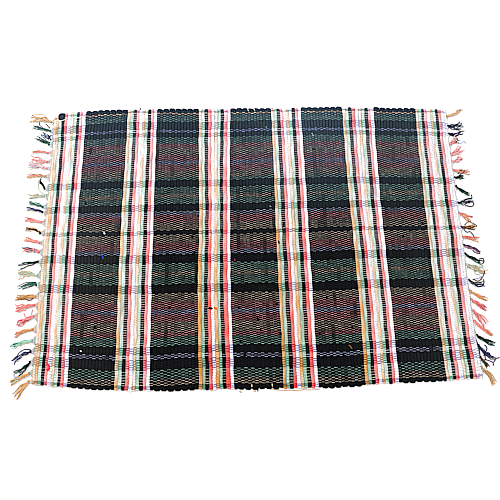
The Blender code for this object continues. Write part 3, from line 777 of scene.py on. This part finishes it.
RIGHT_STRAYS = (
    ("navy", 37, 263, -5, -5, -12, -12), ("navy", 32, 267, -4, -4, -7, -7),
    ("pink", 26, 239, -11, -9, -14, -19, -16, -26), ("brown", 20, 227, 2, -5, -3, -13),
    ("lavender", 22, 212, 9, 2, 14, 6, 18, 1), ("pink", 20, 190, 3, -7, -1, -16, -9, -21),
    ("black", 10, 129, 7, 7, 14, 11, 19, 19), ("brown", 12, 138, 9, 8, 11, 2),
    ("green", 11, 128, 5, -4, 12, 0),
    ("black", 36, 88, 0, -7, -12, -10, -28, -20, -22, -25, -13, -20, -5, -17, 2, -20, -1, -27,
     -17, -25),
    ("brown", 12, 18, 5, 5, 10, 7, 17, 3, 25, -3, 17, -6, 7, -7, 1, -3),
    ("black", 10, 13, -1, -6, 4, -12, 10, -11, 15, -16, 19, -24),
    ("purple", 5, -29, 8, 1, 15, -3, 25, -10, 31, -18), ("black", 32, -59, 7, 1, 9, -6, 6, -10),
    ("brown", 13, -102, 9, -5, 18, 1, 24, 10, 27, 17),
    ("black", 4, -101, 7, -8, 16, -18, 25, -17, 31, -7, 31, -2),
    ("lavender", 16, -102, 10, 2, 16, 6), ("navy", 17, -239, 3, -6, -1, -15, -5, -22),
    ("navy", 13, -270, 4, 14, 9, 15, 13, 5), ("purple", 14, -268, 7, -3, 14, -6, 22, 1, 29, 3),
    ("navy", 28, -274, 0, -6), ("black", 2, -229, 1, -13, 2, -26, 2, -38),
)


def end_x(side, y):
    """X of the cloth's left (side -1) or right (side +1) end at these Y values."""
    across = np.linspace(-1, 1, 61)
    line_x, line_y = plan(EDGES[0] if side < 0 else EDGES[-1], across)
    return np.interp(y, line_y + SHIFT[1], line_x + SHIFT[0])


def knot_places(tassels):
    """Y of each knot in the frame."""
    return (tassels["root"] + tassels["knot"]) * MM + SHIFT[1]


def gather(side, edge_x, y, tassels):
    """Three rings of each warp past its last rag, which lies at edge_x and y: straight out,
    half way to the nearest knot, and inside it, where the yarns of one knot lie side by
    side."""
    knots = knot_places(tassels)
    nearest = np.abs(y[:, None] - knots).argmin(axis=1)
    knot_y = knots[nearest]
    inside = knot_y + np.clip((y - knot_y) * 0.14, -2.2 * MM, 2.2 * MM)
    rows = np.stack((y, y * 0.5 + inside * 0.5, inside), axis=1)
    knot_x = end_x(side, inside) + side * KNOT_OUT
    start = edge_x + side * 1.3 * MM
    x = np.stack((start, (start + knot_x) / 2, knot_x), axis=1)
    z = np.broadcast_to((2.2 * MM, 2.5 * MM, KNOT_Z), x.shape)
    return x, rows, z


def warp_tint(numbers, x, y):
    """Screen colour of each warp at each of its woven rings. A thin yarn lets a light rag under
    it show through. A black yarn takes the table's colour there, and painted shade darkens it
    where it passes under a black rag. Each float is a little lighter or darker than the next,
    and on some rags painted shade darkens a row of them, as if they lay deep in the weave."""
    names = np.array(WARP_NAMES)[numbers][:, None, None]
    yarns = np.array([WARP_COLOURS[WARP_NAMES[number]] for number in numbers], float)[:, None]
    dark = names == "black"
    under = np.repeat(np.arange(len(PICKS)), 2)
    rags = rag_colour(under, x, y)
    light = np.clip((rags.mean(axis=-1, keepdims=True) - 60) / 100, 0, 1)
    crossing = np.array([DARK_OVER.get(name, WARP_COLOURS["black"]) for name in PICKS[under]], float)
    rung = (PICKS[under] == "charcoal")[None, :, None]
    yarns = np.where(rung, yarns + (BRIGHT_RUNG - yarns) * (0.2 + 0.3 * bleach(x, y)), yarns)
    over = ((under + numbers[:, None]) % 2 == 0)[..., None]
    # Painted shade: a black yarn under a black rag keeps 0.4 of its colour, and 1.1 where it is over
    # it.
    yarns = np.where(dark, crossing * np.where(over | (light > 0), 1.1, 0.4), yarns)
    hides = 1 - np.where(dark, 0.06 + 0.3 * bleach(x, y), 0.78) * light
    rng = np.random.default_rng(21)
    shade = rng.uniform(0.8, 1.1, (WARPS, len(PICKS)))
    # Painted shade: on some rags a row of floats is darkened, as if they lay deep in the weave.
    painted_sunk_shade = np.clip(rough(22, len(PICKS), WARPS, 17).T - 0.35, 0, 1) * rng.uniform(0, 1, len(PICKS))
    shade = np.repeat((shade * (1 - painted_sunk_shade))[numbers], 2, axis=1)[..., None]
    shade = 1 + (shade - 1) * (1 - 0.7 * light)
    return veiled(np.clip(yarns * shade * hides + rags * (1 - hides), 0, 255), x, y)


def warp_rows(numbers):
    """The warps with these numbers: two rings at each rag, over or under it, and the gather
    at both ends."""
    widths = np.diff(EDGES)
    along = np.stack((CENTRES - FLOAT_HALF * widths, CENTRES + FLOAT_HALF * widths), axis=1).ravel()
    across = WARP_ACROSS[numbers][:, None]
    x, y = lay_out(along, across)
    over = (np.repeat(np.arange(len(PICKS)), 2) + numbers[:, None]) % 2 == 0
    swell = 1 + RIB_SWELL * uneven(along, across)
    slack = np.random.default_rng(23).uniform(-1, 1, (WARPS, len(PICKS)))[numbers]
    slack = np.repeat(slack, 2, axis=1)
    y = y + 0.09 * MM * slack
    z = MIDDLE_Z * swell + np.where(over, 1, -1) * WARP_RISE * swell + 0.06 * MM * slack
    colours = warp_tint(numbers, x, y)
    left = tuple(part[:, ::-1] for part in gather(-1, x[:, 0], y[:, 0], LEFT_TASSELS))
    right = gather(1, x[:, -1], y[:, -1], RIGHT_TASSELS)
    x, y, z = (np.concatenate(parts, axis=1) for parts in zip(left, (x, y, z), right))
    plain = np.array([PLAIN_YARNS[WARP_NAMES[number]] for number in numbers], float)[:, None]
    # Painted light: at both ends the bare yarns are washed towards white, lighter than their own
    # colour.
    left, right = (plain + (PALE_YARN - plain) * pale for pale in GATHER_PAINTED_LIGHT)
    colours = np.concatenate((faded(left, x[:, :3], y[:, :3]), colours,
                              faded(right, x[:, -3:], y[:, -3:])), axis=1)
    thick = 1 + 0.12 * rough(25, WARPS, x.shape[1], 6)[numbers]
    wide = np.array([FAT_YARNS.get(WARP_NAMES[number], WARP_HALF_WIDTH) for number in numbers])
    centres = np.stack((x, y, z), axis=-1)
    return tubes(centres, wide[:, None] * thick, WARP_HALF_HEIGHT * thick, WARP_OUTLINE, colours)


def ply_twist():
    """Node group for two plies twisted round each other: a sine of the length along the strand
    over the pitch, plus the share of the way round it, as a height and as a tone, which is
    painted shade in the grooves between the plies."""
    tree, start, end = new_group("ply_twist", ("Pitch",))
    strand = add_node(tree, "UVMap", uv_map="strand")
    parts = add_node(tree, "SeparateXYZ", strand)
    turns = add_node(tree, "Math", parts, start["Pitch"], operation="DIVIDE")
    place = add_node(tree, "Math", turns, parts.outputs["Y"], operation="ADD")
    angle = add_node(tree, "Math", place, 4 * np.pi, operation="MULTIPLY")
    wave = add_node(tree, "Math", angle, operation="SINE")
    # The tone is painted shade: darker where the wave is low, in the grooves between the plies.
    give_out(tree, end, wave, -1.0, 0.4, 0.66, 1.08)
    return tree


def twisted_yarn(name, pitch, scale):
    """Two-ply cotton yarn: the twist and the fibres' grain scale the dye and raise the skin. The
    twist's share of the tone is painted shade in the grooves between the plies.
    """
    material, tree, tint, skin, _, grain = dyed_cotton(name, 0.9, 0.03, 0.5, 0.25 * MM, scale)
    twist = add_node(tree, "Group", node_tree=TWIST, pitch=pitch).outputs
    tone = add_node(tree, "Math", grain["Tone"], twist["Tone"], operation="MULTIPLY")
    height = add_node(tree, "Math", grain["Height"], twist["Height"], operation="ADD")
    tree.links.new(tone.outputs[0], tint)
    tree.links.new(height.outputs[0], skin)
    return material


TWIST = ply_twist()
WARP_YARN = twisted_yarn("warp_yarn", 3.4 * MM, 3400.0)
warp_names = ("warps_far", "warps_middle", "warps_near")
for name, part in zip(warp_names, np.array_split(np.arange(WARPS), len(warp_names))):
    piece = strand_piece(name, [warp_rows(part)], WARP_YARN)
    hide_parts("rug_cloth")

# Fringe
# Past the cloth's ends the warps are tied in groups of about ten, each with one knot pushed
# up to the last rag, and the tails are left loose on the floor, some straight and some curled.
YARN_COLOURS = {
    "tan": (214, 160, 98), "orange": (226, 142, 62), "cream": (236, 218, 196),
    "coral": (255, 98, 90), "pink": (255, 148, 146), "crimson": (232, 58, 82),
    "green": (52, 116, 98), "mint": (146, 212, 182), "pale_green": (196, 214, 190),
    "navy": (42, 46, 92), "black": (42, 48, 50), "purple": (100, 78, 120),
    "lavender": (168, 172, 224), "brown": (112, 72, 44),
}
TAIL_RINGS = 20
TAIL_RADIUS = 1.08 * MM
TAIL_OUTLINE = np.array(((1, 0), (0, 1), (-1, 0), (0, -1)), float)
TAILS = 10  # yarns drawn in each tassel
KNOT_RINGS = 16
HEXAGON = np.linspace(0, 2 * np.pi, 6, endpoint=False)
KNOT_OUTLINE = np.stack((np.cos(HEXAGON), np.sin(HEXAGON)), axis=-1)
FADE_PLACE = (0.6, 0.8)  # the fringe fades as the cloth does at this share of its X and Y


def tassel_line(side, row, steps):
    """The middle of one tassel from its knot to its tip, on a smooth curve through its middle,
    in plan, with the direction square to it. Steps past the tip stay there and keep the
    tip's direction."""
    known = np.array((0.0, 0.5, 1.0))
    out = smooth_through(steps, known, np.array((3.4, row["mid_out"], row["tip_out"])) * MM)
    y = row["root"] * MM + np.array((row["knot"], row["mid"], row["tip"])) * MM
    y = smooth_through(steps, known, y) + SHIFT[1]
    x = end_x(side, np.full(steps.shape, y[0])) + side * out
    run, rise = np.gradient(x), np.gradient(y)
    moving = np.maximum.accumulate(np.where(np.hypot(run, rise) > 1e-7, np.arange(len(x)), 0))
    run, rise = run[moving], rise[moving]
    length = np.hypot(run, rise)
    return x, y, -rise / length, run / length


def tails(side, tassels, yarns, seed):
    """The loose tails. They leave the knot as a bundle and change places on the way out, so that
    they cross. Each snakes by its own share of the wave, sinks to the floor and ends at its
    own length, some with a hook."""
    rng = np.random.default_rng(seed)
    s = np.linspace(0, 1, TAIL_RINGS)
    centres, colours, width = [], [], []
    for row, names in zip(tassels, yarns):
        lanes = (np.arange(TAILS) - (TAILS - 1) / 2) / ((TAILS - 1) / 2)
        ends = np.clip(lanes * 1.05 + rng.normal(0, 0.4, TAILS), -1.6, 1.6)
        lanes = rng.permutation(lanes) * 0.4 + lanes * 0.6
        length = row["tip_out"] * MM
        for tail in range(TAILS):
            reach = rng.uniform(0.62, 0.85) if tail % 4 == 2 else rng.uniform(0.86, 1.1)
            x, y, side_x, side_y = tassel_line(side, row, np.minimum(s * reach, 1.0))
            past = np.maximum(s * reach - 1, 0) * length * 0.9
            offset = (1 - s**1.1) * lanes[tail] * 1.4 * MM
            offset = offset + s**0.9 * ends[tail] * row["spread"] * 1.2 * MM
            turns = rng.uniform(0.7, 1.4) * length / (21 * MM)
            snake = np.sin(rng.uniform(0, 2 * np.pi) + 2 * np.pi * turns * s)
            offset = offset + snake * row["wave"] * rng.uniform(0.7, 1.4) * MM * np.minimum(3 * s, 1)
            offset = offset + rng.uniform(-1, 1) * row["wave"] * 2.4 * MM * s**5
            z = TAIL_RADIUS * 1.05 + (tail % 3) * 1.2 * MM * (1 - 0.5 * s)
            z = z + (KNOT_Z - 2.0 * MM) * np.exp(-s * 7)
            x = x + side_x * offset + side * past
            centres.append(np.stack((x, y + side_y * offset, z), axis=-1))
            name = "cream" if tail == TAILS - 1 else names[1] if tail % 3 == 1 else names[0]
            tone = rng.uniform(0.88, 1.08)
            colours.append(np.array(YARN_COLOURS[name]) * tone)
            thin = 0.78 if min(YARN_COLOURS[name]) < 60 and max(YARN_COLOURS[name]) < 130 else 1.0
            width.append(TAIL_RADIUS * thin * rng.uniform(0.8, 1.15) * (1 - 0.4 * s**5))
    return yarn_tubes(centres, colours, width)


def yarn_tubes(centres, colours, width):
    """Tubes of loose yarns, faded by the sun."""
    centres = np.array(centres)
    places = (centres[..., axis] * FADE_PLACE[axis] for axis in (0, 1))
    colours = faded(np.array(colours, float)[:, None], *places)
    width = np.broadcast_to(width, centres.shape[:2])
    return tubes(centres, width, width, TAIL_OUTLINE, colours)


def stray_yarns(side, strays):
    """The single yarns of a table, each on a smooth curve through its bends, lying on the
    tassels in the middle and on the floor at its ends."""
    s = np.linspace(0, 1, TAIL_RINGS + 8)
    centres = []
    for _, *bends in strays:
        out, y = places_of(bends) * MM
        length = np.pad(np.cumsum(np.hypot(np.diff(out), np.diff(y))), (1, 0))
        out, y = (smooth_through(s, length / length[-1], part) for part in (out, y))
        y = y + SHIFT[1]
        z = TAIL_RADIUS * 0.9 + 2.6 * MM * np.sin(np.pi * s) ** 0.6
        centres.append(np.stack((end_x(side, y) + side * out, y, z), axis=-1))
    return yarn_tubes(centres, [YARN_COLOURS[name] for name, *_ in strays], TAIL_RADIUS * 0.85)


def knots(side, tassels, yarns):
    """The knots: a fat yarn wound once and a half round the bundle, a helix whose axis points
    out from the cloth's end."""
    turn = np.linspace(0, 3.3 * np.pi, KNOT_RINGS)
    knot_y = knot_places(tassels)[:, None]
    x = end_x(side, knot_y) + side * (KNOT_OUT + (turn / turn[-1] - 0.5) * 2.6 * MM)
    y = knot_y + side * 1.9 * MM * np.cos(turn)
    z = np.broadcast_to(KNOT_Z + 1.65 * MM * np.sin(turn), x.shape)
    colours = np.array([YARN_COLOURS[names[0]] for names in yarns])[:, None] * 0.92
    fat = np.full(x.shape, 1.15 * MM)
    return tubes(np.stack((x, y, z), axis=-1), fat, fat, KNOT_OUTLINE, faded(colours, x * 0.8, y))


FRINGE_YARN = twisted_yarn("fringe_yarn", 4.2 * MM, 3000.0)
for name, side, tassels, yarns, strays, seed in (
        ("fringe_yarns_left", -1, LEFT_TASSELS, LEFT_YARNS, LEFT_STRAYS, 31),
        ("fringe_yarns_right", 1, RIGHT_TASSELS, RIGHT_YARNS, RIGHT_STRAYS, 32)):
    parts = [tails(side, tassels, yarns, seed), stray_yarns(side, strays), knots(side, tassels, yarns)]
    piece = strand_piece(name, parts, FRINGE_YARN)
    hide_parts("fringe_left" if side < 0 else "fringe_right")

# Floor, light and camera
# A white floor under an even white sky, one soft lamp from the far left, and the camera that
# the stripes' lines give: nearly straight down, 1.28 m away.
CAMERA_PLACE = (-15.2 * MM, -422.2 * MM, 1206.7 * MM)
CAMERA_TURN = (0.316356, 0.0, -0.022953)
CAMERA_LENS = 43.2
FLOOR_HALF = 6.0
SCREEN_GAMMA = 2.2  # the picture is sharpened as a screen shows it


def white_floor():
    """A square of plain white floor, with the faintest grain in its tone."""
    mesh = bpy.data.meshes.new("floor")
    mesh.from_pydata([(-FLOOR_HALF, -FLOOR_HALF, 0), (FLOOR_HALF, -FLOOR_HALF, 0),
                      (FLOOR_HALF, FLOOR_HALF, 0), (-FLOOR_HALF, FLOOR_HALF, 0)], [], [(0, 1, 2, 3)])
    material = bpy.data.materials.new("floor_white")
    material.use_nodes = True
    tree = material.node_tree
    shader = tree.nodes["Principled BSDF"]
    shader.inputs["Roughness"].default_value = 0.9
    shader.inputs["Specular IOR Level"].default_value = 0.0
    noise = add_node(tree, "TexNoise", scale=3.0)
    ramp = add_node(tree, "ValToRGB", noise)
    ramp.color_ramp.elements[0].color = (0.9, 0.9, 0.905, 1.0)
    ramp.color_ramp.elements[1].color = (0.93, 0.93, 0.93, 1.0)
    tree.links.new(ramp.outputs["Color"], shader.inputs["Base Color"])
    mesh.materials.append(material)
    add_object("floor", mesh)


scene = bpy.context.scene
white_floor()
world = bpy.data.worlds.new("white_sky")
world.use_nodes = True
sky = world.node_tree.nodes["Background"].inputs
sky["Color"].default_value = (1.0, 1.0, 1.0, 1.0)
sky["Strength"].default_value = 0.95
scene.world = world
lamp_data = bpy.data.lights.new("soft_lamp", "AREA")
lamp_data.shape = "DISK"
lamp_data.size = 0.9
lamp_data.energy = 14.0
lamp = add_object("soft_lamp", lamp_data)
lamp.location = (-0.9, 0.9, 1.5)
lamp.rotation_euler = (-0.54, -0.54, 0.0)
camera_data = bpy.data.cameras.new("camera")
camera_data.lens = CAMERA_LENS
camera_data.sensor_width = 36.0
camera = add_object("camera", camera_data)
camera.location = (CAMERA_PLACE[0] + SHIFT[0], CAMERA_PLACE[1] + SHIFT[1], CAMERA_PLACE[2])
camera.rotation_euler = CAMERA_TURN
scene.camera = camera
scene.view_settings.view_transform = "Standard"
scene.view_settings.exposure = 0.2
scene.use_nodes = True
picture = scene.node_tree
picture.nodes.clear()
shown = [picture.nodes.new("CompositorNode" + kind)
         for kind in ("RLayers", "Gamma", "Filter", "Gamma", "Composite")]
shown[1].inputs["Gamma"].default_value = 1 / SCREEN_GAMMA
shown[2].filter_type = "SHARPEN"
shown[2].inputs["Fac"].default_value = 0.2
shown[3].inputs["Gamma"].default_value = SCREEN_GAMMA
for before, after in zip(shown, shown[1:]):
    picture.links.new(before.outputs["Image"], after.inputs["Image"])
